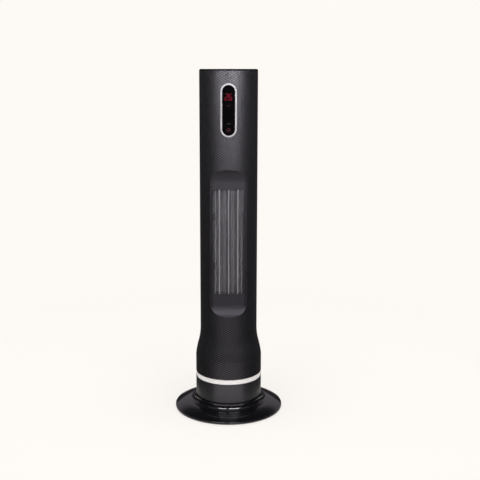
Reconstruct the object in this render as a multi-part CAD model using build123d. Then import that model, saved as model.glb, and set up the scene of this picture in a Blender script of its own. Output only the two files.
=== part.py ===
from build123d import *
import os
from math import acos, cos, pi, radians, sin, sqrt, tan

os.makedirs("parts", exist_ok=True)

# Tower ceramic heater, millimetres, +Z up, front towards -Y.
# The origin is the centre of the circle that the feet stand on.

# Driving dimensions: overall form
total_height = 720.0
base_radius = 115.0
neck_radius = 70.0
skirt_radius = 70.0
column_radius = 60.0
wall = 2.5
seam_gap = 0.3
seam_depth = 0.5

# Driving dimensions: heights of the base and of the swivel seam
rim_low = 1.4
rim_top = 6.0
lip_top = 27.6
lip_radius = 72.2
lip_fillet = 11.5
neck_low = 31.0
ring_low = 70.0
ring_top = 80.0
skirt_low = 80.5
shoulder_z = 118.0
flare_mid_radius = 64.5
flare_mid_z = 146.0
flare_top_z = 178.0
cap_low = 716.5

# Driving dimensions: scooped outlet in the front
scoop_half_width = 37.5
scoop_low = 240.0
scoop_high = 493.0
scoop_end_radius = 34.2
window_width = 63.0
window_low = 260.5
window_high = 478.5
lug_heights = (319.0, 424.0)
lug_height = 13.0
lug_reach = 3.3
broad_bars = (-18.8, 0.0, 18.8)
slim_bars = (-27.2, -9.4, 9.4, 27.2)
grille_half_width = 35.4
grille_back = -42.7

# Driving dimensions: display
display_low = 586.0
display_high = 692.0
display_width = 32.4
display_rim = 3.2

# Driving dimensions: back of the column
intake_width = 80.0
intake_low = 236.0
intake_high = 504.0
intake_slots = 29
slot_height = 3.8
grip_width = 76.0
grip_low = 600.0
grip_high = 640.0
grip_floor_y = 34.0
rocker_z = 190.0
rocker_pin_y = 55.5
rocker_tip = 16.0

# Driving dimensions: swivel drive
gear_module = 1.5
ring_teeth = 60
pinion_teeth = 15
pressure_angle = radians(20)
flank_play = 0.1
gear_low = 60.0
gear_high = 68.0
pinion_shaft_radius = 3.5
hub_radius = 20.0
hub_bore = 15.0
running_play = 0.08

# Driving dimensions: fan
fan_y = 10.0
wheel_radius = 27.5
wheel_low = 250.0
wheel_high = 490.0
blade_count = 24
blade_inner = 20.5
blade_curve = 6.0
blade_thickness = 1.1
shaft_radius = 3.0
shaft_play = 0.06
shaft_depth = 11.0

# Driving dimensions: heating element
rod_count = 4
rod_pitch = 12.56
rod_width = 2.4
element_half_width = 31.4
element_low = 262.0
element_high = 478.0
fin_folds = 60
fin_fold_width = 1.6
fin_gap = 0.05

# Driving dimensions: inside of the base and the turntable
cover_top = 3.4
foot_count = 5
foot_circle = 96.0
foot_radius = 9.0
foot_height = 2.0
cover_screw_circle = 104.0
neck_screw_count = 4
neck_screw_circle = 61.0
ballast_outer = 84.0
ballast_inner = 28.0
ballast_top = 8.2
ledge_low = 21.4
ledge_top = 24.0
glide_low = 76.0
glide_top = 77.0
turntable_low = 84.0
turntable_top = 88.0
board_y = -25.4
gland_z = 44.0

# Driving dimensions: screws of the column and tip switch
boss_x = 46.0
boss_heights = (124.0, 214.0, 528.0, 694.0)
boss_radius = 4.5
head_seat_y = 24.0
plunger_y = -12.0
plunger_radius = 4.0
plunger_travel = 4.0

# Places worked out from the driving dimensions
floor_y = -sqrt(column_radius**2 - scoop_half_width**2)
switch_seat_y = column_radius - 0.6
ring_pitch = gear_module * ring_teeth / 2
pinion_pitch = gear_module * pinion_teeth / 2
pinion_y = ring_pitch - pinion_pitch
UPRIGHT = (Align.CENTER, Align.CENTER, Align.MIN)


def disc(radius, z_low, z_high, x=0.0, y=0.0):
    """Upright cylinder between two heights."""
    return Pos(x, y, z_low) * Cylinder(radius, z_high - z_low, align=UPRIGHT)


def ring(outer, inner, z_low, z_high, x=0.0, y=0.0):
    """Upright tube between two heights."""
    return disc(outer, z_low, z_high, x, y) - disc(inner, z_low - 1, z_high + 1, x, y)


def block(x_low, x_high, y_low, y_high, z_low, z_high):
    """Box given by its limits."""
    middle = ((x_low + x_high) / 2, (y_low + y_high) / 2, (z_low + z_high) / 2)
    return Pos(*middle) * Box(x_high - x_low, y_high - y_low, z_high - z_low)


def pin_along_y(radius, y_low, y_high, x, z):
    """Cylinder that lies along Y."""
    return Pos(x, y_low, z) * Rot(-90, 0, 0) * Cylinder(radius, y_high - y_low, align=UPRIGHT)


def prism_along_y(sketch, y_low, y_high):
    """Front-view sketch (X across, Z up) pushed through from y_high to y_low."""
    return extrude(Plane.XZ.offset(-y_high) * sketch, y_high - y_low)


def turned(*edges):
    """Closed (radius, height) outline turned round the Z axis."""
    return revolve(Plane.XZ * make_face(list(edges)), Axis.Z)


def turned_polygon(*points):
    """Straight-sided (radius, height) outline turned round the Z axis."""
    return turned(Polyline(*points, close=True))


def around(count, radius, start=0.0):
    """Points (x, y) spaced evenly on a circle, the first at start degrees."""
    for index in range(count):
        angle = radians(start + 360 * index / count)
        yield radius * cos(angle), radius * sin(angle)


# Places of what repeats

def foot_places():
    """Centres of the feet, the first at the front."""
    return around(foot_count, foot_circle, -90)


def cover_screw_places():
    """Centres of the cover's screws, between the feet."""
    return around(foot_count, cover_screw_circle, -90 + 180 / foot_count)


def neck_screw_places():
    """Centres of the screws between the dish and the neck."""
    return around(neck_screw_count, neck_screw_circle, 45)


def boss_places():
    """Places (x, z) of the screw bosses at both sides of the column."""
    return [(side * boss_x, z) for z in boss_heights for side in (-1, 1)]


def rod_places():
    """Middles (x) of the upright tubes of the heating element."""
    return [rod_pitch * (index - (rod_count - 1) / 2) for index in range(rod_count)]


# Outer form of the tower and the hollows cut into it

def tower_form(inset, z_low, z_high):
    """Solid column with its flared skirt, its side moved in by inset."""
    skirt = skirt_radius - inset
    column = column_radius - inset
    upper = TangentArc((column, flare_top_z), (flare_mid_radius - inset, flare_mid_z), tangent=(0, -1))
    lower = TangentArc(upper @ 1, (skirt, shoulder_z), tangent=upper % 1)
    return turned(
        Line((0, z_low), (skirt, z_low)),
        Line((skirt, z_low), (skirt, shoulder_z)),
        lower,
        upper,
        Line((column, flare_top_z), (column, z_high)),
        Line((column, z_high), (0, z_high)),
        Line((0, z_high), (0, z_low)),
    )


def scoop_form(grow):
    """Bathtub-shaped cutter: flat floor, ends that rise on arcs, grown by grow."""
    depth = 3 * scoop_end_radius
    height = scoop_high - scoop_low + 2 * scoop_end_radius
    side_view = RectangleRounded(depth + 2 * grow, height + 2 * grow, scoop_end_radius + grow)
    centre = Pos(floor_y - depth / 2, (scoop_low + scoop_high) / 2)
    return extrude(Plane.YZ.offset(-skirt_radius) * centre * side_view, 2 * skirt_radius)


def grip_form(grow):
    """Cutter of the hand grip in the back, grown by grow."""
    height = grip_high - grip_low
    outline = RectangleRounded(grip_width + 2 * grow, height + 2 * grow, 10 + grow)
    centre = Pos(0, (grip_low + grip_high) / 2)
    return prism_along_y(centre * outline, grip_floor_y - grow, skirt_radius)


def display_slot(inset):
    """Pill shape of the display in front view, moved in by inset."""
    length = display_high - display_low - 2 * inset
    width = display_width - 2 * inset
    return Pos(0, (display_low + display_high) / 2) * SlotOverall(length, width, rotation=90)


def half(front):
    """Everything in front of the seam, or everything behind it."""
    reach = 2 * skirt_radius
    y_low, y_high = (-reach, 0) if front else (0, reach)
    return block(-reach, reach, y_low, y_high, 0, total_height)


def seam_groove():
    """Fine line where the two halves of the column meet, cut half into each."""
    skin = tower_form(-1, skirt_low, cap_low) - tower_form(seam_depth, skirt_low - 1, cap_low + 1)
    return skin & block(-80, 80, -seam_gap, seam_gap, 0, total_height)


def bosses(y_low, y_high):
    """Screw bosses at both sides, trimmed to the inside of the shell."""
    inside = tower_form(wall / 2, skirt_low, cap_low)
    pins = [pin_along_y(boss_radius, y_low, y_high, x, z) for x, z in boss_places()]
    return inside & Part() + pins


def boss_holes(radius, y_low, y_high):
    """Holes along all the bosses."""
    return [pin_along_y(radius, y_low, y_high, x, z) for x, z in boss_places()]


# Base

def base_dish():
    """Round dish with a lip round the neck, a ledge that the neck stands on and screw posts."""
    skin = base_radius - wall
    crown = (lip_radius + lip_fillet - 1, lip_top - 1 - lip_fillet)
    fillet = TangentArc((lip_radius, lip_top - 1), crown, tangent=(0, -1))
    rim = (base_radius - 1.8, rim_top)
    dome = TangentArc(crown, rim, tangent=fillet % 1)
    dish = turned(
        Line((base_radius, rim_low), (base_radius, rim_top - 1.8)),
        TangentArc((base_radius, rim_top - 1.8), rim, tangent=(0, 1)),
        dome,
        fillet,
        Line((lip_radius, lip_top - 1), (lip_radius - 1, lip_top)),
        Line((lip_radius - 1, lip_top), (67.8, lip_top)),
        Line((67.8, lip_top), (67.8, ledge_top)),
        Line((67.8, ledge_top), (55, ledge_top)),
        Line((55, ledge_top), (55, ledge_low)),
        Line((55, ledge_low), (70.1, ledge_low)),
        ThreePointArc((70.1, ledge_low), (74.2, 16.2), (crown[0], crown[1] - wall)),
        ThreePointArc((crown[0], crown[1] - wall), (98, 9.7), (skin, rim_top - wall)),
        Line((skin, rim_top - wall), (skin, rim_low)),
        Line((skin, rim_low), (base_radius, rim_low)),
    )
    under_dome = turned_polygon((95, cover_top), (111, cover_top), (111, 5.6), (100, 10.3), (95, 11.8))
    posts = [disc(4, cover_top, 12, x, y) for x, y in cover_screw_places()]
    dish += under_dome & Part() + posts
    dish -= [disc(1.3, 3, 5.6, x, y) for x, y in cover_screw_places()]
    dish -= [disc(1.9, ledge_low - 1, ledge_top + 1, x, y) for x, y in neck_screw_places()]
    return dish


def bottom_cover():
    """Plate that closes the dish, with pockets for the feet and the hole of the tip pin."""
    cover = disc(base_radius - wall - 0.3, rim_low, cover_top)
    cover -= [disc(foot_radius + 0.1, 0, foot_height, x, y) for x, y in foot_places()]
    cover -= [disc(1.5, 0, 4, x, y) for x, y in cover_screw_places()]
    cover -= [disc(3.0, 0, rim_low + 1, x, y) for x, y in cover_screw_places()]
    return cover - disc(plunger_radius + 0.4, 0, 4, 0, plunger_y)


def rubber_feet():
    """Round pads glued into the pockets of the cover."""
    pad = chamfer(disc(foot_radius, 0, foot_height).edges().group_by(Axis.Z)[0], 0.5)
    return Compound([Pos(x, y, 0) * pad for x, y in foot_places()])


def base_screws():
    """Screws of the cover, and screws that hold the neck to the dish."""
    low = disc(2.8, rim_low, rim_low + 1) + disc(1.3, rim_low + 1, 5.4)
    high = disc(3.4, ledge_low - 2, ledge_low) + disc(1.6, ledge_low, 28.5)
    cover_screws = [Pos(x, y, 0) * low for x, y in cover_screw_places()]
    neck_screws = [Pos(x, y, 0) * high for x, y in neck_screw_places()]
    return Compound(cover_screws + neck_screws)


def ballast_plate():
    """Steel ring that keeps the tower from tipping."""
    return ring(ballast_outer, ballast_inner, cover_top, ballast_top)


def neck_housing():
    """Fixed neck: outer wall, foot that drops into the dish, bearing plate and ribs."""
    inner = neck_radius - 3
    bore = hub_radius + running_play
    neck = turned_polygon(
        (neck_radius, neck_low),
        (neck_radius, ring_low),
        (65.4, ring_low),
        (65.4, glide_low),
        (62.5, glide_low),
        (62.5, 66),
        (inner, 66),
        (inner, gear_low),
        (bore, gear_low),
        (bore, 52),
        (bore + 3.5, 52),
        (bore + 3.5, 56),
        (inner, 56),
        (inner, 33),
        (64.5, neck_low),
        (64.5, 29),
        (55, 29),
        (55, ledge_top),
        (67.5, ledge_top),
        (67.5, neck_low),
    )
    rib = block(28, inner + 0.5, -1, 1, 46, 56.5)
    neck += [Rot(0, 0, 60 * index) * rib for index in range(6)]
    neck -= [disc(1.6, 23, 30, x, y) for x, y in neck_screw_places()]
    neck -= pin_along_y(9.4, neck_radius - 0.8, neck_radius + 5, 0, gland_z)
    return neck - pin_along_y(6.4, 60, 75, 0, gland_z)


def trim_ring():
    """Bright band on top of the neck, set in by a millimetre."""
    band = ring(neck_radius - 1, 65.5, ring_low, ring_top)
    return chamfer(band.edges().group_by(Axis.Z)[-1].sort_by(SortBy.RADIUS)[-1], 0.6)


def glide_ring():
    """Slippery ring on the neck that the tower turns on."""
    return ring(65.2, 60.2, glide_low, glide_top)


def cord_gland():
    """Bush in the back of the neck that a cord would pass."""
    gland = pin_along_y(6.3, 64, 70, 0, gland_z) + pin_along_y(9, 69.2, 71.6, 0, gland_z)
    gland += pin_along_y(5.6, 71.6, 76, 0, gland_z)
    return gland - pin_along_y(3.6, 60, 80, 0, gland_z)


def tip_switch():
    """Switch body on two posts over the tip pin."""
    body = block(-9, 9, plunger_y - 9, plunger_y + 9, 11, 30)
    for side in (-1, 1):
        body += block(side * 7.5 - 1.5, side * 7.5 + 1.5, plunger_y - 4, plunger_y + 4, cover_top, 11)
        body += block(side * 5 - 2, side * 5 + 2, plunger_y - 0.4, plunger_y + 0.4, 30, 36)
    return body - disc(plunger_radius + 0.1, 10, 22, 0, plunger_y)


def tip_plunger():
    """Pin that the floor presses in; its collar stops it on the cover when it drops."""
    pin = disc(plunger_radius, 0, 20, 0, plunger_y)
    pin = chamfer(pin.edges().group_by(Axis.Z)[0], 0.8)
    return pin + disc(plunger_radius + 1.6, cover_top + plunger_travel, 9.2, 0, plunger_y)


# Swivel drive

def involute(angle):
    """Roll of an involute at a pressure angle."""
    return tan(angle) - angle


def tooth_points(teeth, root, tip, play):
    """Points of one tooth about the X axis, from its lower root to its upper root."""
    pitch = gear_module * teeth / 2
    base = pitch * cos(pressure_angle)
    steps = 4
    flank = []
    for index in range(steps + 1):
        radius = root + (tip - root) * index / steps
        lean = involute(acos(base / radius)) if radius > base else 0.0
        half_angle = pi / (2 * teeth) + involute(pressure_angle) - lean + play / pitch
        flank.append((radius, half_angle))
    lower = [(r * cos(-a), r * sin(-a)) for r, a in flank]
    upper = [(r * cos(a), r * sin(a)) for r, a in reversed(flank)]
    return lower + upper


def gear_face(teeth, root, tip, play, start, end):
    """Toothed disc with teeth centred on every pitch angle from start to end degrees."""
    outline = []
    pitch_angle = 360 / teeth
    count = round((end - start) / pitch_angle)
    for index in range(count):
        turn = radians(start + pitch_angle * index)
        for x, y in tooth_points(teeth, root, tip, play):
            outline.append((x * cos(turn) - y * sin(turn), x * sin(turn) + y * cos(turn)))
    if end - start < 360:
        outline.append((0, 0))
    return make_face(Polyline(*outline, close=True))


def swivel_ring_gear():
    """Inner toothed arc fixed on the bearing plate, wide enough for the whole swing."""
    start, end, reach = radians(38), radians(142), 90
    corners = [(reach * cos(angle), reach * sin(angle)) for angle in (start, pi / 2, end)]
    wedge = make_face(Polyline((0, 0), *corners, close=True))
    spaces = gear_face(ring_teeth, ring_pitch - 1.0, ring_pitch + 1.8, flank_play, 36, 150)
    band = ring(54, ring_pitch - 1.0, gear_low, gear_high)
    below, height = Pos(0, 0, gear_low - 1), gear_high - gear_low + 2
    return (band & extrude(below * wedge, height)) - extrude(below * spaces, height)


def swivel_pinion():
    """Pinion that rolls in the toothed arc, in one piece with its shaft."""
    face = gear_face(pinion_teeth, pinion_pitch - 1.65, pinion_pitch + 1.2, -flank_play, 90, 450)
    gear = extrude(Pos(0, pinion_y, gear_low + 1) * face, gear_high - gear_low - 1)
    return gear + disc(pinion_shaft_radius, gear_high - 1, turntable_top + 12, 0, pinion_y)


def swivel_motor():
    """Flat slow-running motor on the turntable plate, with two screw ears."""
    low, high = turntable_top, turntable_top + 15
    ear_top = low + 2
    can = disc(24, low, high, 0, pinion_y)
    can = fillet(can.edges().group_by(Axis.Z)[-1], 2)
    can += block(-27, 27, pinion_y - 4.5, pinion_y + 4.5, low, ear_top)
    for x in (-27, 27):
        can += disc(4.5, low, ear_top, x, pinion_y)
        can -= disc(1.8, low - 1, ear_top + 1, x, pinion_y)
    return can - disc(pinion_shaft_radius + shaft_play, low - 1, high - 2, 0, pinion_y)


def tower_foot():
    """Turntable plate with hollow hub, glide rib, stiffening ribs and posts of the circuit board."""
    inside = turntable_low + 1
    plate = disc(skirt_radius - wall - 0.2, turntable_low, turntable_top)
    plate += ring(hub_radius, hub_bore, 47, inside)
    plate += ring(64.4, 60.8, glide_top + 0.05, inside)
    rib = block(hub_radius - 1, 61.5, -1, 1, 79.5, inside)
    plate += [Rot(0, 0, 22.5 + 45 * index) * rib for index in range(8)]
    plate += [block(side * 36 - 3, side * 36 + 3, board_y, -21, 87, 112) for side in (-1, 1)]
    plate -= disc(hub_bore, 46, 90)
    return plate - disc(5, 78, 90, 0, pinion_y)


def hub_retainer():
    """Ring under the bearing plate that keeps the hub in the neck."""
    return ring(hub_radius + 6.5, hub_radius, 48, 51.2)


# Column shells

def front_housing():
    """Front half of the column with the scooped outlet, its window and the display hole."""
    skin = tower_form(0, skirt_low, cap_low) - scoop_form(0)
    hollow = tower_form(wall, skirt_low - 1, cap_low + 1) - scoop_form(wall)
    shell = ((skin - hollow) & half(front=True)) - seam_groove()
    window = Rectangle(window_width, window_high - window_low)
    window = Pos(0, (window_low + window_high) / 2) * window
    for z in lug_heights:
        for side in (-1, 1):
            window -= Pos(side * window_width / 2, z) * Rectangle(2 * lug_reach, lug_height)
    shell -= prism_along_y(window, -column_radius, -35)
    shell -= prism_along_y(display_slot(1.0), -70, -40)
    shell += bosses(-skirt_radius, 0)
    shell -= boss_holes(1.5, -12, 1)
    posts = [pin_along_y(2.5, -58.5, -53, 0, z) for z in (display_low - 4.5, display_high + 4.5)]
    return shell + posts


def rear_housing():
    """Back half of the column with the intake window, hand grip, rocker hole and locating lip."""
    skin = tower_form(0, skirt_low, cap_low) - grip_form(0)
    hollow = tower_form(wall, skirt_low - 1, cap_low + 1) - grip_form(wall)
    shell = ((skin - hollow) & half(front=False)) - seam_groove()
    shell -= prism_along_y(intake_outline(0), 30, 80)
    shell += bosses(0, skirt_radius)
    shell -= boss_holes(1.8, -1, 80)
    shell -= boss_holes(3.5, head_seat_y, 80)
    shell -= block(-8, 8, switch_seat_y, 70, rocker_z - 11, rocker_z + 11)
    shell -= block(-6.6, 6.6, 50, 70, rocker_z - 9.6, rocker_z + 9.6)
    lip_low, lip_high = 90, 706
    core = tower_form(wall + 1.3, lip_low - 1, lip_high + 1)
    lip_root = tower_form(wall - 0.4, lip_low, lip_high) - core
    lip_tongue = tower_form(wall + 0.1, lip_low, lip_high) - core
    shell += lip_root & block(-80, 80, 0, 2, 80, total_height)
    return shell + (lip_tongue & block(-80, 80, -4, 0, 80, total_height))


def intake_outline(grow):
    """Front-view outline of the intake window, grown by grow."""
    height = intake_high - intake_low
    centre = Pos(0, (intake_low + intake_high) / 2)
    return centre * RectangleRounded(intake_width + 2 * grow, height + 2 * grow, 4 + grow)


def intake_grille():
    """Curved insert with two columns of slots, and a flange that seats behind the window."""
    insert = ring(column_radius, column_radius - wall, intake_low - 5, intake_high + 5)
    insert &= prism_along_y(intake_outline(-0.2), 30, 80)
    flange = ring(column_radius - wall, column_radius - wall - 1.6, intake_low - 5, intake_high + 5)
    flange &= prism_along_y(intake_outline(3.5), 20, 80)
    plate = insert + flange
    pitch = (intake_high - intake_low - 8) / intake_slots
    slots = []
    for row in range(intake_slots):
        z = intake_low + 4 + pitch * (row + 0.5)
        low, high = z - slot_height / 2, z + slot_height / 2
        slots += [block(x - 17, x + 17, 30, 80, low, high) for x in (-19.25, 19.25)]
    return plate - slots


def top_cap():
    """Lid with a rounded rim and a skirt that drops inside the shells."""
    lid = disc(column_radius, cap_low, total_height)
    lid = fillet(lid.edges().group_by(Axis.Z)[-1], 3.2)
    return lid + ring(57.3, 55.3, 709, cap_low)


# Display

def display_bezel():
    """Curved pill-shaped rim that lies on the front and reaches through its hole."""
    rim = ring(column_radius + 0.9, column_radius, display_low - 5, display_high + 5)
    rim &= prism_along_y(display_slot(0), -70, -40)
    spigot = ring(column_radius, column_radius - 4, display_low - 5, display_high + 5)
    spigot &= prism_along_y(display_slot(1.1), -70, -40)
    return rim + spigot - prism_along_y(display_slot(display_rim), -70, -40)


def display_lens():
    """Dark window inside the rim."""
    pane = ring(column_radius + 0.3, column_radius - 2.7, display_low - 5, display_high + 5)
    return pane & prism_along_y(display_slot(display_rim + 0.05), -70, -40)


def display_board():
    """Circuit board behind the lens with the digit block and three lamps."""
    board = block(-13, 13, -53, -51.4, display_low - 8, display_high + 8)
    digits = block(-8, 8, -56.3, -53, 653, 677)
    lamps = [pin_along_y(2, -56.3, -53, 0, z) for z in (646.0, 608.0, 597.0)]
    return board + digits + lamps


# Outlet and heating element

def outlet_grille():
    """Frame hidden behind the window, with three broad bars in it and four slim ones set deeper."""
    front = floor_y + wall + 0.05
    outer, inner = grille_half_width, grille_half_width - 3
    frame = block(-outer, outer, front, grille_back, window_low - 5, window_high + 5)
    frame -= block(-inner, inner, front - 1, grille_back + 1, window_low - 2, window_high + 2)
    low, high = window_low + 0.2, window_high - 0.2
    for x in broad_bars:
        frame += extrude(Pos(x, floor_y + 1.9, low) * RectangleRounded(3.6, 4.6, 1.2), high - low)
        frame += block(x - 1, x + 1, front, grille_back, window_low - 3, window_high + 3)
    for x in slim_bars:
        frame += extrude(Pos(x, floor_y + 3.1, low) * RectangleRounded(1.4, 2.0, 0.5), high - low)
        frame += block(x - 0.6, x + 0.6, front, grille_back, window_low - 3, window_high + 3)
    return frame


def ptc_frame():
    """Heat-proof frame of the heating element."""
    frame = block(-36, 36, -42.6, -28, element_low - 8, element_high + 8)
    return frame - block(-element_half_width, element_half_width, -50, -20, element_low, element_high)


def ptc_rods():
    """Four upright aluminium tubes with the ceramic stones in them."""
    rod = block(-rod_width / 2, rod_width / 2, -42, -29.4, element_low, element_high)
    return Compound([Pos(x, 0, 0) * rod for x in rod_places()])


def ptc_fins():
    """Five columns of folded fin strip between the tubes."""
    step = (element_high - element_low - 1) / fin_folds
    heights = [element_low + 0.5 + step * index for index in range(fin_folds + 1)]
    left_edges = [-element_half_width] + [x + rod_width / 2 for x in rod_places()]
    right_edges = [x - rod_width / 2 for x in rod_places()] + [element_half_width]
    columns = []
    for left, right in zip(left_edges, right_edges):
        x_low = left + fin_gap
        x_high = right - fin_gap - fin_fold_width
        rear = [(x_high if index % 2 else x_low, z) for index, z in enumerate(heights)]
        front = [(x + fin_fold_width, z) for x, z in reversed(rear)]
        columns.append(prism_along_y(make_face(Polyline(*rear, *front, close=True)), -41.4, -30))
    return Compound(columns)


def thermal_cutout():
    """Button-shaped safety switch on top of the element's frame."""
    seat = element_high + 8
    return block(-30, -10, -40, -31, seat, seat + 0.8) + disc(6.5, seat + 0.8, seat + 5, -20, -35.4)


# Fan

def fan_scroll():
    """End plates and the two guide walls that lead air round the wheel to the element."""
    plate = disc(55, 244, 246) & block(-60, 60, -27.6, 60, 240, 250)
    low_plate = plate - disc(9, 240, 250, 0, fan_y)
    high_plate = Pos(0, 0, 248) * (plate - disc(7, 240, 250, 0, fan_y))
    back_wall = make_face([
        ThreePointArc((-34, -27.6), (-36.5, 8), (-23, 37)),
        Line((-23, 37), (-21.4, 35.8)),
        ThreePointArc((-21.4, 35.8), (-34.5, 8), (-32, -27.6)),
        Line((-32, -27.6), (-34, -27.6)),
    ])
    tongue = Polyline((34, -27.6), (34, -13), (29.6, 0.5), (28.6, 0), (32, -13.4), (32, -27.6), close=True)
    walls = [extrude(Pos(0, 0, 245) * face, 248) for face in (back_wall, make_face(tongue))]
    return low_plate + high_plate + walls


def wheel_blade():
    """Face of one forward-curved blade, an arc strip that leaves the inner rim radially."""
    centre = (blade_inner, blade_curve)
    start, end = radians(-90), radians(-6)

    def point(radius, angle):
        return centre[0] + radius * cos(angle), centre[1] + radius * sin(angle)

    def arc(radius, first, last):
        return ThreePointArc(point(radius, first), point(radius, (first + last) / 2), point(radius, last))

    outside = blade_curve + blade_thickness / 2
    inside = blade_curve - blade_thickness / 2
    return make_face([
        arc(outside, start, end),
        Line(point(outside, end), point(inside, end)),
        arc(inside, end, start),
        Line(point(inside, start), point(outside, start)),
    ])


def impeller():
    """Upright cross-flow wheel: curved blades between end discs, with two stiffening hoops."""
    blade = wheel_blade()
    blades = [Rot(0, 0, 360 * index / blade_count) * blade for index in range(blade_count)]
    span = wheel_high - wheel_low
    wheel = Part() + [extrude(Pos(0, 0, wheel_low + 1) * face, span - 2) for face in blades]
    for z in (wheel_low + span / 3, wheel_low + 2 * span / 3):
        wheel += ring(wheel_radius, 20, z - 1, z + 1)
    for z in (wheel_low, wheel_high - 2):
        wheel += disc(wheel_radius, z, z + 2)
    wheel += [disc(7, wheel_low - 2, wheel_low + 12), disc(7, wheel_high - 12, wheel_high)]
    wheel -= disc(shaft_radius, wheel_low - 3, wheel_low + shaft_depth)
    wheel -= disc(shaft_radius, wheel_high - shaft_depth, wheel_high + 1)
    return Pos(0, fan_y, 0) * wheel


def fan_shaft():
    """Motor shaft below the wheel and the short pin above it."""
    return Compound([
        disc(shaft_radius, 190, wheel_low + shaft_depth, 0, fan_y),
        disc(shaft_radius, wheel_high - shaft_depth, 499, 0, fan_y),
    ])


def fan_motor():
    """Fan motor with stepped end bells."""
    motor = disc(26, 202, 226, 0, fan_y) + disc(20, 196, 232, 0, fan_y)
    motor = fillet(motor.edges().filter_by(GeomType.CIRCLE).group_by(Axis.Z)[0], 1.5)
    return motor - disc(shaft_radius + shaft_play, 190, 240, 0, fan_y)


def motor_bracket():
    """Plate over the motor with three posts up to the fan's lower end plate."""
    plate = disc(34, 232, 234.5, 0, fan_y) - disc(8, 230, 236, 0, fan_y)
    plate += [disc(3.5, 234, 244, x, y + fan_y) for x, y in around(3, 29.5, 90)]
    return plate - [disc(6, 230, 236, x, y + fan_y) for x, y in around(3, 20, 30)]


def top_bush():
    """Flanged bush of the wheel's upper pin."""
    bore = shaft_radius + shaft_play
    return ring(7, bore, 492, 495, 0, fan_y) + ring(10, bore, 494, 498, 0, fan_y)


def control_board():
    """Main circuit board on the posts of the turntable plate, with relays and a capacitor."""
    front = board_y - 1.6
    board = block(-40, 40, front, board_y, 92, 182)
    relays = [block(x, x + 15, front - 16, front, 104, 128) for x in (-34, -14, 6)]
    capacitor = pin_along_y(9, front - 18, front, 20, 158)
    choke = pin_along_y(8, front - 10, front, -20, 152)
    return board + relays + capacitor + choke


# Mains rocker

def switch_frame():
    """Square frame and body of the mains switch, open for the rocker."""
    seat = switch_seat_y
    frame = block(-7.6, 7.6, seat, seat + 1.6, rocker_z - 10.6, rocker_z + 10.6)
    frame += block(-6.5, 6.5, 44, seat, rocker_z - 9.5, rocker_z + 9.5)
    frame -= block(-5, 5, 49, 70, rocker_z - 8.5, rocker_z + 8.5)
    frame -= Pos(0, rocker_pin_y, rocker_z) * Rot(0, 90, 0) * Cylinder(1.06, 11.8)
    return frame + [block(-3, 3, 37, 44.5, z - 0.4, z + 0.4) for z in (rocker_z - 5, rocker_z + 5)]


def power_rocker():
    """Rocker key with a shallow V face, tipped to its off side."""
    outside = [(-1, -7.0), (5.0, -7.4), (3.6, 0), (5.0, 7.4), (-1, 7.0)]
    side_view = make_face(Polyline(*outside, (-3.5, 4), (-3.5, -4), close=True))
    key = extrude(Plane.YZ.offset(-4.7) * side_view, 9.4) + Rot(0, 90, 0) * Cylinder(1.0, 11.4)
    return Pos(0, rocker_pin_y, rocker_z) * Rot(-rocker_tip / 2, 0, 0) * key


def housing_screws():
    """Screws that pull the two shells together from the back."""
    screw = pin_along_y(3.1, head_seat_y, head_seat_y + 2.2, 0, 0) + pin_along_y(1.5, -11, head_seat_y, 0, 0)
    return Compound([Pos(x, 0, z) * screw for x, z in boss_places()])


nodes = {
    "base_dish": base_dish,
    "bottom_cover": bottom_cover,
    "ballast_plate": ballast_plate,
    "rubber_feet": rubber_feet,
    "base_screws": base_screws,
    "neck_housing": neck_housing,
    "trim_ring": trim_ring,
    "glide_ring": glide_ring,
    "swivel_ring_gear": swivel_ring_gear,
    "tip_switch": tip_switch,
    "cord_gland": cord_gland,
    "tip_plunger": tip_plunger,
    "tower_foot": tower_foot,
    "hub_retainer": hub_retainer,
    "front_housing": front_housing,
    "rear_housing": rear_housing,
    "top_cap": top_cap,
    "display_bezel": display_bezel,
    "display_lens": display_lens,
    "display_board": display_board,
    "outlet_grille": outlet_grille,
    "ptc_frame": ptc_frame,
    "ptc_rods": ptc_rods,
    "ptc_fins": ptc_fins,
    "thermal_cutout": thermal_cutout,
    "fan_scroll": fan_scroll,
    "fan_motor": fan_motor,
    "motor_bracket": motor_bracket,
    "top_bush": top_bush,
    "control_board": control_board,
    "swivel_motor": swivel_motor,
    "intake_grille": intake_grille,
    "switch_frame": switch_frame,
    "housing_screws": housing_screws,
    "impeller": impeller,
    "fan_shaft": fan_shaft,
    "swivel_pinion": swivel_pinion,
    "power_rocker": power_rocker,
}

for name, make in nodes.items():
    export_step(make(), f"parts/{name}.step")
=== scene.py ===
from math import atan, copysign, cos, pi, radians, sin, tan

import bmesh
import bpy
from mathutils import Matrix, Vector


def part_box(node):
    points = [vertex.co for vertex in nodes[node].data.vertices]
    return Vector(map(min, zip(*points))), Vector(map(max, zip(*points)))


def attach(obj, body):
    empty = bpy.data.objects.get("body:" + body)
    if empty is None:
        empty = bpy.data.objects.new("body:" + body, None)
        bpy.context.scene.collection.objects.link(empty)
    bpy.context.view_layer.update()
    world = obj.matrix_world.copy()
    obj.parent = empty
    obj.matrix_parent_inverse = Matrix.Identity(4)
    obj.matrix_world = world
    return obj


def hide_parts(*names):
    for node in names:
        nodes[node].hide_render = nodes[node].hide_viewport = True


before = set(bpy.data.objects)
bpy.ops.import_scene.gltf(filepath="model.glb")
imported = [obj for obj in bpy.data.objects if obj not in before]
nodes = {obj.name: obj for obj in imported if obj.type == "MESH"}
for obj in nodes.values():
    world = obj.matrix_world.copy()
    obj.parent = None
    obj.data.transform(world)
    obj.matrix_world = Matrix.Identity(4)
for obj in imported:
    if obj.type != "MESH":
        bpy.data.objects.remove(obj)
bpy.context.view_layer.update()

# Sizes taken from the frame, metres

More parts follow.
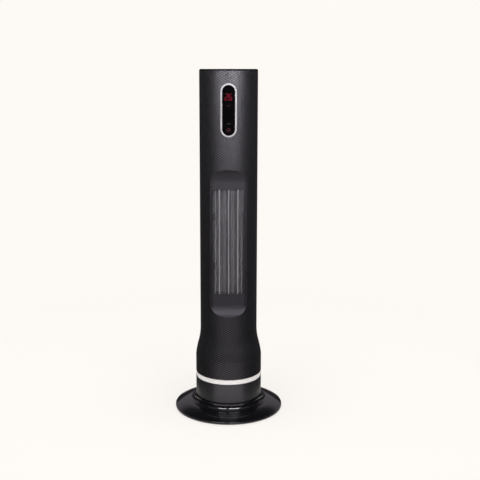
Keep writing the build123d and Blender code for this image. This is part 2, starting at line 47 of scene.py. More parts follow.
column_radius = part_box("top_cap")[1].x
board_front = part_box("display_board")[0].y
fins_low, fins_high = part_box("ptc_fins")
rods_low, rods_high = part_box("ptc_rods")

# Viewpoint: where the photograph was taken from

camera_distance = 1.764
camera_height = 0.720
camera_pitch = radians(10.5)
photo_size = 480.0
photo_focal_px = 853.265
photo_axis_px = (228.6, 227.043)
sensor_width = 36.0

# Colours, linear, and the strength of the lights

paper_white = (0.982, 0.948, 0.913)
paper_shade = (0.935, 0.903, 0.870)
left_softbox_glow = 18.5
right_softbox_glow = 23.125
softbox_tint = (1.0, 0.97, 1.04)
card_tint = (1.04, 0.96, 1.05)
room_light = 0.75
top_light_watts = 24.0


# Small helpers for meshes

def object_from(bm, name, material):
    """Turns a finished bmesh into an object of one material."""
    mesh = bpy.data.meshes.new(name)
    bm.to_mesh(mesh)
    bm.free()
    mesh.materials.append(material)
    item = bpy.data.objects.new(name, mesh)
    bpy.context.scene.collection.objects.link(item)
    return item


def piece_from(bm, name, body, material):
    """Turns a finished bmesh into a piece that rides on a body."""
    piece = object_from(bm, name, material)
    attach(piece, body)
    return piece


def outward(bm):
    """Merges doubles and turns all faces outwards."""
    bmesh.ops.remove_doubles(bm, verts=bm.verts, dist=1e-7)
    bmesh.ops.recalc_face_normals(bm, faces=bm.faces)


def new_corners(made):
    """The vertices among what an operator made."""
    return [item for item in made["geom"] if isinstance(item, bmesh.types.BMVert)]


def thicken_back(bm, faces, depth):
    """Gives flat faces in front view their thickness, backwards along +Y."""
    made = bmesh.ops.extrude_face_region(bm, geom=faces, use_keep_orig=True)
    bmesh.ops.translate(bm, verts=new_corners(made), vec=(0, depth, 0))


def raised(bm, outline, depth):
    """Adds a flat plate seen from the front: outline in (x, y, z)."""
    thicken_back(bm, [bm.faces.new([bm.verts.new(point) for point in outline])], depth)


# Small helpers for materials

def finish(name, colour, roughness, metallic=0.0, specular=0.5):
    """New material with its shader's plain values set; returns the material, its tree and its shader."""
    material = bpy.data.materials.new(name)
    material.use_nodes = True
    tree = material.node_tree
    shader = tree.nodes["Principled BSDF"]
    shader.inputs["Base Color"].default_value = (*colour, 1.0)
    shader.inputs["Roughness"].default_value = roughness
    shader.inputs["Metallic"].default_value = metallic
    shader.inputs["Specular IOR Level"].default_value = specular
    return material, tree, shader


def object_place(tree, stretch=(1.0, 1.0, 1.0)):
    """Object coordinates, stretched along each axis."""
    place = tree.nodes.new("ShaderNodeTexCoord")
    mapping = tree.nodes.new("ShaderNodeMapping")
    mapping.inputs["Scale"].default_value = stretch
    tree.links.new(place.outputs["Object"], mapping.inputs["Vector"])
    return mapping.outputs["Vector"]


def speckle(tree, place, scale, detail=3.0, rough=0.55):
    """Noise between 0 and 1."""
    noise = tree.nodes.new("ShaderNodeTexNoise")
    noise.inputs["Scale"].default_value = scale
    noise.inputs["Detail"].default_value = detail
    noise.inputs["Roughness"].default_value = rough
    tree.links.new(place, noise.inputs["Vector"])
    return noise.outputs["Fac"]


def maths(tree, operation, *values):
    """One sum: each value is a number or the output of another node."""
    node = tree.nodes.new("ShaderNodeMath")
    node.operation = operation
    for index, value in enumerate(values):
        if isinstance(value, (int, float)):
            node.inputs[index].default_value = value
        else:
            tree.links.new(value, node.inputs[index])
    return node.outputs[0]


def between(tree, factor, low, high, start=0.0, end=1.0):
    """Number that goes from low to high as factor goes from start to end."""
    node = tree.nodes.new("ShaderNodeMapRange")
    node.inputs["From Min"].default_value = start
    node.inputs["From Max"].default_value = end
    node.inputs["To Min"].default_value = low
    node.inputs["To Max"].default_value = high
    tree.links.new(factor, node.inputs["Value"])
    return node.outputs["Result"]


def axes(tree, place):
    """The x, y and z of a place."""
    split = tree.nodes.new("ShaderNodeSeparateXYZ")
    tree.links.new(place, split.inputs["Vector"])
    return split.outputs


def blended(tree, factor, first, second):
    """Colour from the first to the second as factor goes from 0 to 1; each is a colour or an output."""
    mix = tree.nodes.new("ShaderNodeMix")
    mix.data_type = "RGBA"
    tree.links.new(factor, mix.inputs["Factor"])
    colour_a, colour_b = mix.inputs[6], mix.inputs[7]
    for socket, colour in ((colour_a, first), (colour_b, second)):
        if isinstance(colour, tuple):
            socket.default_value = (*colour, 1.0)
        else:
            tree.links.new(colour, socket)
    return mix.outputs[2]


def toned(colour, factor):
    """The colour made lighter or darker, with no channel above 1."""
    return tuple(min(1.0, value * factor) for value in colour)


def shades(tree, factor, *stops):
    """Colours along a factor; each stop is (place, colour)."""
    node = tree.nodes.new("ShaderNodeValToRGB")
    ramp = node.color_ramp
    while len(ramp.elements) < len(stops):
        ramp.elements.new(0.5)
    for element, (position, colour) in zip(ramp.elements, stops):
        element.position = position
        element.color = (*colour, 1.0)
    tree.links.new(factor, node.inputs["Fac"])
    return node.outputs["Color"]


def relief(tree, shader, height, depth, strength=1.0):
    """Bump of the given depth in metres."""
    bump = tree.nodes.new("ShaderNodeBump")
    bump.inputs["Strength"].default_value = strength
    bump.inputs["Distance"].default_value = depth
    tree.links.new(height, bump.inputs["Height"])
    tree.links.new(bump.outputs["Normal"], shader.inputs["Normal"])


# Finishes of the moulded parts

cell_width = 0.00405
cell_height = 0.0024
thread_edge = 0.25
weave_relief = 0.00012
skin_depth = 0.0007
# Where the painted shade on the recess side walls begins and where it is full
wall_shade_start = 0.0310
wall_shade_end = 0.0350
thread_sheen = 0.54
recess_middle_sheen = 0.42
recess_wall_painted_shade = 0.88
deep_roughness = 0.50
high_roughness = 0.44
smear_roughness = 0.03
recess_roughness = 0.11


def woven_shell():
    """Charcoal shell: a weave of 4 by 2.4 mm cells wraps the column, and the scooped recess is plain, with
    painted shade darkening its side walls.
    """
    material, tree, shader = finish("woven_shell", (0.009, 0.0085, 0.0105), 0.5)
    place = object_place(tree)
    x, y, z = axes(tree, place)
    turn = maths(tree, "ARCTAN2", x, maths(tree, "MULTIPLY", y, -1.0))
    across = maths(tree, "SINE", maths(tree, "MULTIPLY", turn, pi * column_radius / cell_width))
    upward = maths(tree, "SINE", maths(tree, "MULTIPLY", z, pi / cell_height))
    checker = maths(tree, "MULTIPLY", across, upward)
    side = between(tree, checker, 0.0, 1.0, -thread_edge, thread_edge)
    squares = maths(tree, "ADD", maths(tree, "POWER", x, 2.0), maths(tree, "POWER", y, 2.0))
    radius = maths(tree, "SQRT", squares)
    outside = maths(tree, "GREATER_THAN", radius, column_radius - skin_depth)
    recess = maths(tree, "SUBTRACT", 1.0, outside)
    woven = maths(tree, "MAXIMUM", side, recess)
    patches = speckle(tree, place, 9.0, 2.0)
    dark = shades(tree, patches, (0.3, (0.0038, 0.0036, 0.0046)), (0.7, (0.0050, 0.0047, 0.0060)))
    light = shades(tree, patches, (0.3, (0.0110, 0.0103, 0.0128)), (0.7, (0.0135, 0.0125, 0.0155)))
    tree.links.new(blended(tree, woven, dark, light), shader.inputs["Base Color"])
    # Metallic rises from the recess middle to its side walls: painted shade that darkens the walls
    sheen_and_wall_shade = between(tree, maths(tree, "ABSOLUTE", x), recess_middle_sheen, recess_wall_painted_shade,
                     wall_shade_start, wall_shade_end)
    recess_sheen_and_wall_shade = maths(tree, "MULTIPLY", recess, sheen_and_wall_shade)
    sheen_and_painted_shade = maths(tree, "ADD", between(tree, woven, thread_sheen, 0.0), recess_sheen_and_wall_shade)
    tree.links.new(sheen_and_painted_shade, shader.inputs["Metallic"])
    smear = between(tree, speckle(tree, place, 35.0, 4.0), -smear_roughness, smear_roughness)
    rough = maths(tree, "ADD", between(tree, woven, deep_roughness, high_roughness), smear)
    rough = maths(tree, "ADD", rough, maths(tree, "MULTIPLY", recess, recess_roughness))
    tree.links.new(rough, shader.inputs["Roughness"])
    pillow = maths(tree, "POWER", maths(tree, "ABSOLUTE", checker), 0.5)
    relief(tree, shader, maths(tree, "MULTIPLY", pillow, outside), weave_relief, 0.8)
    return material


def satin_plastic(name, dark, light, roughness, grain=1400.0, depth=0.00004, specular=0.5):
    """Moulded plastic: faint clouding, a fine spark-eroded grain and handling marks in the gloss."""
    material, tree, shader = finish(name, light, roughness, 0.0, specular)
    place = object_place(tree)
    clouds = speckle(tree, place, 14.0, 3.0)
    tree.links.new(shades(tree, clouds, (0.3, dark), (0.7, light)), shader.inputs["Base Color"])
    smear = speckle(tree, place, 42.0, 5.0)
    rough = between(tree, smear, roughness - 0.05, roughness + 0.06)
    tree.links.new(rough, shader.inputs["Roughness"])
    relief(tree, shader, speckle(tree, place, grain, 2.0), depth, 0.5)
    return material


def piano_black():
    """Deep polished black with the faintest orange peel and a few fine wipe marks."""
    material, tree, shader = finish("piano_black", (0.0035, 0.0033, 0.0042), 0.07)
    place = object_place(tree)
    wipe = speckle(tree, object_place(tree, (1.0, 9.0, 1.0)), 30.0, 6.0, 0.7)
    tree.links.new(between(tree, wipe, 0.035, 0.13), shader.inputs["Roughness"])
    dust = speckle(tree, place, 700.0, 1.0)
    tint = shades(tree, dust, (0.70, (0.0035, 0.0033, 0.0042)), (0.80, (0.012, 0.011, 0.012)))
    tree.links.new(tint, shader.inputs["Base Color"])
    peel = speckle(tree, place, 160.0, 1.0)
    relief(tree, shader, peel, 0.00001, 0.35)
    return material


# Finishes of the metal parts

drawn_upwards = (1.0, 1.0, 0.05)
drawn_backwards = (1.0, 0.2, 1.0)
drawn_along_shaft = (1.0, 1.0, 0.1)
drawn_all_ways = (1.0, 1.0, 1.0)
turned_lines = (1.0, 1.0, 40.0)


def satin_silver(name, colour, roughness, metallic=1.0):
    """Satin silver with fine lines that run round the part."""
    material, tree, shader = finish(name, colour, roughness, metallic)
    lines = speckle(tree, object_place(tree, turned_lines), 60.0, 6.0, 0.7)
    tone = shades(tree, lines, (0.3, toned(colour, 0.93)), (0.7, toned(colour, 1.04)))
    tree.links.new(tone, shader.inputs["Base Color"])
    tree.links.new(between(tree, lines, roughness - 0.05, roughness + 0.06), shader.inputs["Roughness"])
    relief(tree, shader, lines, 0.00002, 0.3)
    return material


def brushed_metal(name, colour, roughness, stretch, scale=220.0, metallic=1.0):
    """Metal with drawn lines; stretch says along which axis they run."""
    material, tree, shader = finish(name, colour, roughness, metallic)
    lines = speckle(tree, object_place(tree, stretch), scale, 5.0, 0.65)
    stain = speckle(tree, object_place(tree), 60.0, 4.0)
    factor = maths(tree, "MULTIPLY", maths(tree, "ADD", lines, stain), 0.5)
    tone = shades(tree, factor, (0.3, toned(colour, 0.72)), (0.7, toned(colour, 1.12)))
    tree.links.new(tone, shader.inputs["Base Color"])
    tree.links.new(between(tree, factor, roughness - 0.09, roughness + 0.12), shader.inputs["Roughness"])
    relief(tree, shader, lines, 0.00003, 0.4)
    return material


bar_grey = (0.212, 0.205, 0.221)
frame_black = (0.005, 0.0048, 0.0056)
window_half = 0.0314


def grille_finish():
    """Satin silver bars; the frame round the window stays dark."""
    material, tree, shader = finish("bar_silver", bar_grey, 0.42, 0.3)
    lines = speckle(tree, object_place(tree, drawn_upwards), 220.0, 5.0, 0.65)
    drawn = shades(tree, lines, (0.3, toned(bar_grey, 0.80)), (0.7, toned(bar_grey, 1.12)))
    x = axes(tree, object_place(tree))["X"]
    outside = maths(tree, "GREATER_THAN", maths(tree, "ABSOLUTE", x), window_half)
    tree.links.new(blended(tree, outside, drawn, frame_black), shader.inputs["Base Color"])
    tree.links.new(between(tree, lines, 0.34, 0.52), shader.inputs["Roughness"])
    relief(tree, shader, lines, 0.00003, 0.4)
    return material


# Finishes of the display and the circuit boards

def smoked_lens():
    """Dark see-through pane, very smooth, with a hint of dust."""
    material, tree, shader = finish("smoked_lens", (0.03, 0.025, 0.028), 0.03)
    shader.inputs["Transmission Weight"].default_value = 1.0
    shader.inputs["IOR"].default_value = 1.49
    haze = speckle(tree, object_place(tree), 55.0, 5.0)
    tree.links.new(between(tree, haze, 0.01, 0.07), shader.inputs["Roughness"])
    tint = speckle(tree, object_place(tree), 20.0, 1.0)
    colour = shades(tree, tint, (0.3, (0.028, 0.023, 0.026)), (0.7, (0.034, 0.028, 0.031)))
    tree.links.new(colour, shader.inputs["Base Color"])
    return material


def glowing(name, colour, glow, strength):
    """Display part whose glow is a little uneven: lit parts, and unlit segments given a faint painted glow.
    """
    material, tree, shader = finish(name, colour, 0.4)
    uneven = speckle(tree, object_place(tree), 420.0, 2.0)
    tint = shades(tree, uneven, (0.2, toned(glow, 0.82)), (0.8, glow))
    tree.links.new(tint, shader.inputs["Emission Color"])
    shader.inputs["Emission Strength"].default_value = strength
    return material


def circuit_board():
    """Green solder mask with copper tracks showing through."""
    material, tree, shader = finish("circuit_board", (0.01, 0.09, 0.035), 0.35)
    cells = tree.nodes.new("ShaderNodeTexVoronoi")
    cells.distance = "MANHATTAN"
    cells.feature = "DISTANCE_TO_EDGE"
    cells.inputs["Scale"].default_value = 240.0
    tree.links.new(object_place(tree), cells.inputs["Vector"])
    edge = cells.outputs["Distance"]
    tracks = shades(tree, edge, (0.04, (0.03, 0.20, 0.07)), (0.08, (0.008, 0.07, 0.028)))
    tree.links.new(tracks, shader.inputs["Base Color"])
    relief(tree, shader, edge, 0.00003, 0.3)
    return material


# Materials, and the CAD nodes that have them

shell = woven_shell()
neck_satin = satin_plastic("neck_satin", (0.0120, 0.0112, 0.0130), (0.0150, 0.0140, 0.0162), 0.36)
matt_black = satin_plastic("matt_black", (0.010, 0.010, 0.011), (0.016, 0.016, 0.018), 0.55)
intake_black = satin_plastic("intake_black", (0.010, 0.010, 0.011), (0.014, 0.014, 0.016), 0.46)
duct_grey = satin_plastic("duct_grey", (0.020, 0.020, 0.022), (0.032, 0.032, 0.035), 0.50)
wheel_black = satin_plastic("wheel_black", (0.012, 0.012, 0.013), (0.022, 0.022, 0.024), 0.45)
rubber = satin_plastic("rubber", (0.012, 0.012, 0.012), (0.024, 0.023, 0.022), 0.78,
                       grain=900.0, depth=0.00008, specular=0.3)
nylon = satin_plastic("nylon", (0.62, 0.60, 0.54), (0.74, 0.72, 0.66), 0.42)
heatproof = satin_plastic("heatproof", (0.035, 0.033, 0.032), (0.055, 0.050, 0.048), 0.62)
ceramic = satin_plastic("ceramic", (0.60, 0.56, 0.48), (0.72, 0.69, 0.61), 0.5)
cap_black = satin_plastic("cap_black", (0.003, 0.003, 0.0034), (0.0045, 0.0044, 0.005), 0.72, specular=0.08)
black_gloss = piano_black()
ring_silver = satin_silver("ring_silver", (0.97, 0.935, 0.925), 0.36, 0.0)
rim_silver = satin_silver("rim_silver", (0.34, 0.331, 0.34), 0.55, 0.1)
bar_silver = grille_finish()
fin_aluminium = brushed_metal("fin_aluminium", (0.36, 0.35, 0.37), 0.50, drawn_backwards, 300.0, 0.6)
tube_aluminium = brushed_metal("tube_aluminium", (0.10, 0.097, 0.104), 0.50, drawn_upwards, 220.0, 0.6)
zinc = brushed_metal("zinc", (0.50, 0.50, 0.52), 0.42, drawn_all_ways, 90.0)
screw_steel = brushed_metal("screw_steel", (0.42, 0.42, 0.43), 0.35, drawn_all_ways, 300.0)
shaft_steel = brushed_metal("shaft_steel", (0.62, 0.62, 0.63), 0.22, drawn_along_shaft)
brass = brushed_metal("brass", (0.60, 0.42, 0.16), 0.30, drawn_all_ways, 160.0)
lens = smoked_lens()
board_green = circuit_board()
digit_red = glowing("digit_red", (0.10, 0.004, 0.008), (1.0, 0.05, 0.13), 10.0)
icon_amber = glowing("icon_amber", (0.06, 0.03, 0.02), (1.0, 0.58, 0.46), 2.6)
icon_white = glowing("icon_white", (0.10, 0.10, 0.10), (1.0, 0.94, 0.92), 3.0)
icon_pink = glowing("icon_pink", (0.10, 0.04, 0.05), (1.0, 0.35, 0.42), 6.0)
# The unlit segments are not lit; their faint glow is painted glow
unlit_segment_painted_glow = glowing("unlit_segment_painted_glow", (0.02, 0.004, 0.005), (0.20, 0.02, 0.03), 0.5)
mark_white = satin_plastic("mark_white", (0.60, 0.60, 0.58), (0.72, 0.72, 0.70), 0.5)

node_finishes = {
    "base_dish": black_gloss,
    "bottom_cover": matt_black,
    "ballast_plate": zinc,
    "rubber_feet": rubber,
    "base_screws": screw_steel,
    "neck_housing": neck_satin,
    "trim_ring": ring_silver,
    "glide_ring": nylon,
    "swivel_ring_gear": nylon,
    "tip_switch": matt_black,
    "cord_gland": rubber,
    "tip_plunger": nylon,
    "tower_foot": matt_black,
    "hub_retainer": zinc,
    "front_housing": shell,
    "rear_housing": shell,
    "top_cap": cap_black,
    "display_bezel": rim_silver,
    "display_lens": lens,
    "display_board": board_green,
    "outlet_grille": bar_silver,
    "ptc_frame": heatproof,
    "ptc_rods": tube_aluminium,
    "thermal_cutout": ceramic,
    "fan_scroll": duct_grey,
    "fan_motor": zinc,
    "motor_bracket": zinc,
    "top_bush": brass,
    "control_board": board_green,
    "swivel_motor": zinc,
    "intake_grille": intake_black,
    "switch_frame": intake_black,
    "housing_screws": screw_steel,
    "impeller": wheel_black,
    "fan_shaft": shaft_steel,
    "swivel_pinion": nylon,
    "power_rocker": matt_black,
}


def dress_frame():
    """Gives each CAD node its finish."""
    for name, material in node_finishes.items():
        for holder in nodes[name].material_slots:
            holder.material = material


# Display: seven-segment digits and touch icons behind the smoked lens

digit_face = board_front - 0.0001
mark_depth = 0.00012
digit_middle_z = 0.6650
digit_width = 0.0052
digit_height = 0.0118
digit_gap = 0.0024
stroke = 0.0014
segment_gap = 0.12 * stroke
lean = tan(radians(5))
segments_lit = {"2": "abged", "6": "afgedc"}


def segment_outline(first, last):
    """Six-cornered bar between two points (x, z) of a digit."""
    start, end = Vector(first), Vector(last)
    along = (end - start).normalized()
    side = Vector((-along.y, along.x)) * stroke / 2
    start = start + along * segment_gap
    end = end - along * segment_gap
    inner = along * stroke / 2
    return [start, start + inner + side, end - inner + side, end, end - inner - side, start + inner - side]


def digit_segments(character, centre_x):
    """Outlines of the lit and the dark segments of one digit."""
    side, top = digit_width / 2, digit_height / 2
    ends = {
        "a": ((-side, top), (side, top)),
        "b": ((side, top), (side, 0)),
        "c": ((side, 0), (side, -top)),
        "d": ((-side, -top), (side, -top)),
        "e": ((-side, 0), (-side, -top)),
        "f": ((-side, top), (-side, 0)),
        "g": ((-side, 0), (side, 0)),
    }
    lit, dark = [], []
    for name, (first, last) in ends.items():
        outline = [
            (centre_x + corner.x + corner.y * lean, digit_face, digit_middle_z + corner.y)
            for corner in segment_outline(first, last)
        ]
        (lit if name in segments_lit[character] else dark).append(outline)
    return lit, dark


def behind_lens(bm, name, material):
    """Turns finished digits or an icon into a piece behind the lens."""
    outward(bm)
    piece_from(bm, name, "tower", material)


def display_digits():
    """The number 26 in red segments, and the unlit segments beside them, which carry a faint painted glow.
    """
    spacing = (digit_width + digit_gap) / 2
    groups = [digit_segments("2", -spacing), digit_segments("6", spacing)]
    for name, index, material in (("digits_lit", 0, digit_red), ("digits_dark", 1, unlit_segment_painted_glow)):
        bm = bmesh.new()
        for group in groups:
            for outline in group[index]:
                raised(bm, outline, mark_depth)
        behind_lens(bm, name, material)


def arc_band(bm, centre, radius, width, start, end, steps):
    """Adds a flat curved band in front view: its short edge is spun from start to end degrees."""
    first = radians(start)
    ends = [
        bm.verts.new((centre[0] + reach * sin(first), digit_face, centre[1] + reach * cos(first)))
        for reach in (radius - width / 2, radius + width / 2)
    ]
    short_edge = bm.edges.new(ends)
    before = set(bm.faces)
    bmesh.ops.spin(bm, geom=[*ends, short_edge], cent=(centre[0], digit_face, centre[1]), axis=(0, 1, 0),
                   angle=radians(end - start), steps=steps, use_duplicate=False)
    thicken_back(bm, [face for face in bm.faces if face not in before], mark_depth)


def bar(bm, half_width, z_low, z_high):
    """Adds a flat upright or level bar in the middle of the front view."""
    corners = [(-half_width, z_low), (half_width, z_low), (half_width, z_high), (-half_width, z_high)]
    raised(bm, [(x, digit_face, z) for x, z in corners], mark_depth)


wave_places = (-0.0022, 0.0, 0.0022)
wave_radius = 0.0011
wave_line = 0.00045
wave_shift = 0.0007
wave_upper_z = 0.6492
wave_lower_z = 0.6474
wave_upper_sweep = (20, 160)
wave_lower_sweep = (200, 340)
wave_steps = 6
dash_half = 0.0032
dash_low_z = 0.6122
dash_high_z = 0.6132
power_z = 0.6000
power_radius = 0.0032
power_line = 0.0007
power_sweep = (35, 325)
power_steps = 20
power_bar_low_z = 0.6002
power_bar_high_z = 0.6040


def touch_icons():
    """Heat icon under the digits, a dash and a power sign near the lower end."""
    heat = bmesh.new()
    for x in wave_places:
        upper, lower = (x - wave_shift, wave_upper_z), (x + wave_shift, wave_lower_z)
        arc_band(heat, upper, wave_radius, wave_line, *wave_upper_sweep, wave_steps)
        arc_band(heat, lower, wave_radius, wave_line, *wave_lower_sweep, wave_steps)
    behind_lens(heat, "heat_icon", icon_amber)
    dash = bmesh.new()
    bar(dash, dash_half, dash_low_z, dash_high_z)
    behind_lens(dash, "dash_icon", icon_white)
    power = bmesh.new()
    arc_band(power, (0.0, power_z), power_radius, power_line, *power_sweep, power_steps)
    bar(power, power_line / 2, power_bar_low_z, power_bar_high_z)
    behind_lens(power, "power_icon", icon_pink)


# Heating element: folded aluminium strip between the tubes

rod_count = 4
rod_width = 0.0024
fold_pitch = 0.0019
fold_flat = 0.00012
fold_turn = 0.00028
fold_round = 0.0005
strip_end_gap = 0.0005
strip_side_gap = 0.0003
strip_front = -0.0414
strip_back = -0.0300
strip_thickness = 0.00016


def folded_strip(name, low, high, folds):
    """Sheet folded to and fro between two tubes: one fold, drawn back, repeated upwards and thickened."""
    bends = ((low, low + fold_round, 0.0), (high, high - fold_round, fold_pitch / 2))
    line = []
    for outer, inner, height in bends:
        line += [(inner, height - fold_turn), (outer, height - fold_flat)]
        line += [(outer, height + fold_flat), (inner, height + fold_turn)]
    line.append((low + fold_round, fold_pitch - fold_turn))
    foot = fins_low.z + strip_end_gap
    bm = bmesh.new()
    front = [bm.verts.new((x, strip_front, foot + height)) for x, height in line]
    edges = [bm.edges.new(pair) for pair in zip(front, front[1:])]
    made = bmesh.ops.extrude_edge_only(bm, edges=edges)
    bmesh.ops.translate(bm, verts=new_corners(made), vec=(0, strip_back - strip_front, 0))
    bmesh.ops.spin(bm, geom=bm.verts[:] + bm.edges[:] + bm.faces[:], cent=(0, 0, 0), axis=(0, 0, 1),
                   dvec=(0, 0, fold_pitch), angle=0.0, steps=folds - 1, use_duplicate=True)
    bmesh.ops.remove_doubles(bm, verts=bm.verts, dist=1e-6)
    bmesh.ops.recalc_face_normals(bm, faces=bm.faces)
    bmesh.ops.solidify(bm, geom=bm.faces[:], thickness=strip_thickness)
    outward(bm)
    return piece_from(bm, name, "tower", fin_aluminium)


def fin_strips():
    """Five columns of tightly folded strip, on both sides of each tube."""
    rod_step = (rods_high.x - rods_low.x - rod_width) / (rod_count - 1)
    rod_middles = [rods_low.x + rod_width / 2 + index * rod_step for index in range(rod_count)]
    left_edges = [fins_low.x] + [middle + rod_width / 2 for middle in rod_middles]
    right_edges = [middle - rod_width / 2 for middle in rod_middles] + [fins_high.x]
    folds = int((fins_high.z - fins_low.z - 2 * strip_end_gap) / fold_pitch)
    for number, (left, right) in enumerate(zip(left_edges, right_edges), start=1):
        strip = folded_strip(f"fin_strip_{number}", left + strip_side_gap, right - strip_side_gap, folds)
        if number == 1:
            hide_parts("ptc_fins")


# Mains rocker: plain marks for on and off

rocker_pivot = Vector((0.0, 0.0555, 0.190))
rocker_tilt = radians(-8)
rocker_valley = 0.0036
rocker_slope = 1.4 / 7.4
rocker_mark_height = 0.0042
rocker_mark_proud = 0.00006
rocker_ring_radius = 0.0013
rocker_ring_growth = 1.35
rocker_bar_width = 0.0006
rocker_bar_length = 0.0034


def lay_on_rocker(bm, name, height):
    """Lays a flat mark on the half of the rocker's V-shaped face at this height from its pin."""
    bmesh.ops.solidify(bm, geom=bm.faces[:], thickness=mark_depth)
    bmesh.ops.translate(bm, verts=bm.verts, vec=(0, 0, rocker_mark_proud))
    upright = Matrix.Rotation(-pi / 2 - copysign(atan(rocker_slope), height), 4, "X")
    on_face = Matrix.Translation((0.0, rocker_valley + abs(height) * rocker_slope, height))
    on_key = Matrix.Translation(rocker_pivot) @ Matrix.Rotation(rocker_tilt, 4, "X")
    bmesh.ops.transform(bm, matrix=on_key @ on_face @ upright, verts=bm.verts)
    outward(bm)
    piece_from(bm, name, "rocker", mark_white)


def rocker_marks():
    """A ring for off on the lower half of the rocker, a bar for on on the upper half."""
    ring = bmesh.new()
    bmesh.ops.create_circle(ring, segments=24, radius=rocker_ring_radius)
    grown = bmesh.ops.extrude_edge_only(ring, edges=ring.edges[:])
    bmesh.ops.scale(ring, verts=new_corners(grown), vec=(rocker_ring_growth, rocker_ring_growth, 1.0))
    lay_on_rocker(ring, "rocker_mark_off", -rocker_mark_height)
    on_bar = bmesh.new()
    bmesh.ops.create_grid(on_bar, x_segments=1, y_segments=1, size=0.5)
    bmesh.ops.scale(on_bar, verts=on_bar.verts, vec=(rocker_bar_width, rocker_bar_length, 1.0))
    lay_on_rocker(on_bar, "rocker_mark_on", rocker_mark_height)


# Studio

room_radius = 6.0
room_height = 6.0
softbox_radius = 0.7
card_near_edge = 0.15
card_far_edge = 5.9
card_lift = 0.001
near_card_edge = 0.45
overhead_hole = 0.01
overhead_edge = 1.6
shadow_near = 0.35
shadow_far = 1.2
shadow_share = 0.55
sheet_step = 4.0
fewest_steps = 4


def bare_tree(owner):
    """Emptied node tree of a material or a world."""
    owner.use_nodes = True
    owner.node_tree.nodes.clear()
    return owner.node_tree


def seen_by_eye(tree):
    """1 for the camera, for reflections and through glass; 0 where the surface acts as a light."""
    seen = tree.nodes.new("ShaderNodeLightPath")
    direct = maths(tree, "MAXIMUM", seen.outputs["Is Camera Ray"], seen.outputs["Is Glossy Ray"])
    return maths(tree, "MAXIMUM", direct, seen.outputs["Is Transmission Ray"])


def one_colour(tree, kind, colour, strength=None):
    """Shader of one colour, with a strength where it gives light."""
    shader = tree.nodes.new(kind)
    shader.inputs["Color"].default_value = (*colour, 1.0)
    if strength is not None:
        shader.inputs["Strength"].default_value = strength
    return shader


def mixed_surface(tree, factor, first, second, kind):
    """Goes from the first shader to the second as factor goes from 0 to 1, and out at the surface."""
    mix = tree.nodes.new("ShaderNodeMixShader")
    tree.links.new(factor, mix.inputs["Fac"])
    tree.links.new(first.outputs[0], mix.inputs[1])
    tree.links.new(second.outputs[0], mix.inputs[2])
    out = tree.nodes.new(kind)
    tree.links.new(mix.outputs[0], out.inputs["Surface"])


def plain_glow(name, colour, strength=1.0):
    """Material that only glows; returns it with its tree and its glow."""
    material = bpy.data.materials.new(name)
    tree = bare_tree(material)
    glow = one_colour(tree, "ShaderNodeEmission", colour, strength)
    out = tree.nodes.new("ShaderNodeOutputMaterial")
    tree.links.new(glow.outputs[0], out.inputs["Surface"])
    return material, tree, glow


def card(bm, name, material):
    """Studio card that only reflections see."""
    sheet = object_from(bm, name, material)
    sheet.visible_camera = False
    sheet.visible_transmission = False
    sheet.visible_shadow = False
    sheet.visible_diffuse = False


def spun_sheet(ends, sector):
    """Sheet made by spinning an edge round the object; ends are (radius, height), 0 degrees is the front."""
    start, end = sector
    first = radians(start)
    bm = bmesh.new()
    corners = [bm.verts.new((radius * sin(first), -radius * cos(first), height)) for radius, height in ends]
    edge = bm.edges.new(corners)
    steps = max(fewest_steps, int((end - start) / sheet_step))
    bmesh.ops.spin(bm, geom=[*corners, edge], cent=(0, 0, 0), axis=(0, 0, 1), angle=radians(end - start),
                   steps=steps, use_duplicate=False)
    return bm


def curved_wall(name, sector, levels, radius=room_radius, glow_level=1.0, tint=card_tint):
    """Upright card bent round the object; levels are (height, brightness) from its foot to its top."""
    low, high = levels[0][0], levels[-1][0]
    material, tree, glow = plain_glow(name, tint)
    rise = axes(tree, object_place(tree))["Z"]
    curve = tree.nodes.new("ShaderNodeFloatCurve")
    points = curve.mapping.curves[0].points
    while len(points) < len(levels):
        points.new(0.5, 0.5)
    brightest = max(level for height, level in levels)
    for point, (height, level) in zip(points, levels):
        point.location = (height / high, level / brightest)
        point.handle_type = "VECTOR"
    curve.mapping.update()
    tree.links.new(maths(tree, "DIVIDE", rise, high), curve.inputs["Value"])
    strength = maths(tree, "MULTIPLY", curve.outputs["Value"], brightest * glow_level)
    tree.links.new(strength, glow.inputs["Strength"])
    card(spun_sheet([(radius, low), (radius, high)], sector), name, material)


def level_card(name, sector, inner, outer, height, level):
    """Flat card that lies round the object between two radii."""
    material = plain_glow(name, card_tint, level)[0]
    card(spun_sheet([(inner, height), (outer, height)], sector), name, material)


def studio_floor():
    """Pale floor that meets the background without a line and keeps the object's shadow."""
    material = bpy.data.materials.new("floor_paper")
    tree = bare_tree(material)
    glow = one_colour(tree, "ShaderNodeEmission", paper_white, 1.0)
    paper = one_colour(tree, "ShaderNodeBsdfDiffuse", paper_shade)
    distance = tree.nodes.new("ShaderNodeVectorMath")
    distance.operation = "LENGTH"
    tree.links.new(object_place(tree), distance.inputs[0])
    away = between(tree, distance.outputs["Value"], shadow_share, 1.0, shadow_near, shadow_far)
    by_eye = maths(tree, "MULTIPLY", seen_by_eye(tree), away)
    mixed_surface(tree, by_eye, paper, glow, "ShaderNodeOutputMaterial")
    bm = bmesh.new()
    bmesh.ops.create_circle(bm, cap_ends=True, segments=96, radius=room_radius)
    object_from(bm, "floor", material)


def studio_world():
    """White to the eye and to reflections, a quieter grey as a light."""
    world = bpy.data.worlds.new("studio")
    bpy.context.scene.world = world
    tree = bare_tree(world)
    light = one_colour(tree, "ShaderNodeBackground", (1.0, 1.0, 1.0), room_light)
    eye = one_colour(tree, "ShaderNodeBackground", paper_white, 1.0)
    mixed_surface(tree, seen_by_eye(tree), light, eye, "ShaderNodeOutputWorld")


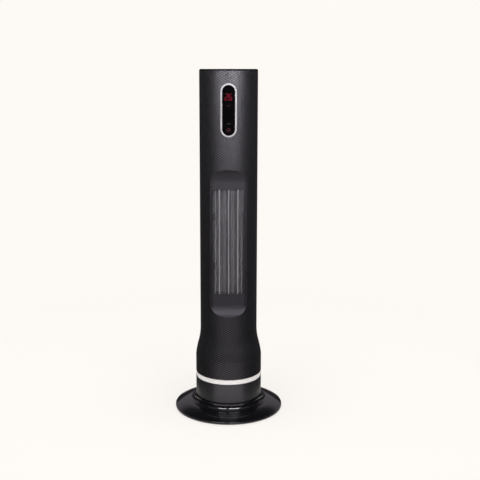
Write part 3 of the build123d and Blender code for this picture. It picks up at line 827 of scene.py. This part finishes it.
def soft_lamp(name, place, aim, size, watts):
    """Square soft lamp pointed at a spot; reflections don't show it."""
    lamp = bpy.data.lights.new(name, "AREA")
    lamp.shape = "RECTANGLE"
    lamp.size = size
    lamp.size_y = size
    lamp.energy = watts
    holder = bpy.data.objects.new(name, lamp)
    bpy.context.scene.collection.objects.link(holder)
    direction = Vector(aim) - Vector(place)
    turn = direction.to_track_quat("-Z", "Y").to_matrix().to_4x4()
    holder.matrix_world = Matrix.Translation(place) @ turn
    holder.visible_camera = False
    holder.visible_glossy = False


softbox_levels = [(0.70, 1.0), (1.00, 1.0)]
front_levels = [(0.0, 0.06), (room_height, 0.06)]
side_levels = [(0.0, 0.03), (1.2, 0.05), (room_height, 0.10)]
back_levels = [(0.0, 0.03), (1.2, 0.05), (1.8, 0.42), (3.2, 0.42), (4.4, 0.10), (room_height, 0.05)]
softboxes = {"left": ((-40, -8.6), left_softbox_glow), "right": ((1.5, 43), right_softbox_glow)}
front_sector = (-42, 42)
side_sectors = {"right": (43, 119), "left": (-119, -43)}
back_sector = (120, 240)
front_half = (-90, 90)
back_half = (90, 270)
all_round = (-180, 180)


def studio():
    """Two softboxes near the front, and dark, grey and bright cards for the reflections."""
    studio_floor()
    studio_world()
    for side, (sector, glow) in softboxes.items():
        curved_wall(f"{side}_softbox", sector, softbox_levels, softbox_radius, glow, softbox_tint)
    curved_wall("front_dark_card", front_sector, front_levels)
    for side, sector in side_sectors.items():
        curved_wall(f"{side}_dark_card", sector, side_levels)
        level_card(f"{side}_floor_card", sector, card_near_edge, card_far_edge, card_lift, level=0.05)
    curved_wall("back_card", back_sector, back_levels)
    level_card("back_floor_card", back_sector, card_near_edge, card_far_edge, card_lift, level=0.10)
    level_card("near_floor_card", front_sector, card_near_edge, near_card_edge, card_lift, level=1.7)
    level_card("front_floor_card", front_sector, near_card_edge, card_far_edge, card_lift, level=0.5)
    level_card("overhead_card", all_round, overhead_hole, overhead_edge, room_height, level=0.55)
    level_card("front_ceiling_card", front_half, overhead_edge, room_radius, room_height, level=0.50)
    level_card("back_ceiling_card", back_half, overhead_edge, room_radius, room_height, level=0.04)
    soft_lamp("top_light", (0.0, -0.4, 2.3), (0.0, 0.0, 0.4), size=1.6, watts=top_light_watts)


def photo_camera():
    """Camera at the place the photograph was taken from, with its framing."""
    lens_data = bpy.data.cameras.new("photo_camera")
    lens_data.sensor_width = sensor_width
    lens_data.lens = photo_focal_px * sensor_width / photo_size
    lens_data.shift_x = (photo_size / 2 - photo_axis_px[0]) / photo_size
    lens_data.shift_y = (photo_axis_px[1] - photo_size / 2) / photo_size
    camera = bpy.data.objects.new("photo_camera", lens_data)
    bpy.context.scene.collection.objects.link(camera)
    turn = Matrix.Rotation(pi / 2 - camera_pitch, 4, "X")
    camera.matrix_world = Matrix.Translation((0.0, -camera_distance, camera_height)) @ turn
    bpy.context.scene.camera = camera


dress_frame()
display_digits()
touch_icons()
fin_strips()
rocker_marks()
studio()
photo_camera()
bpy.context.scene.view_settings.view_transform = "Standard"
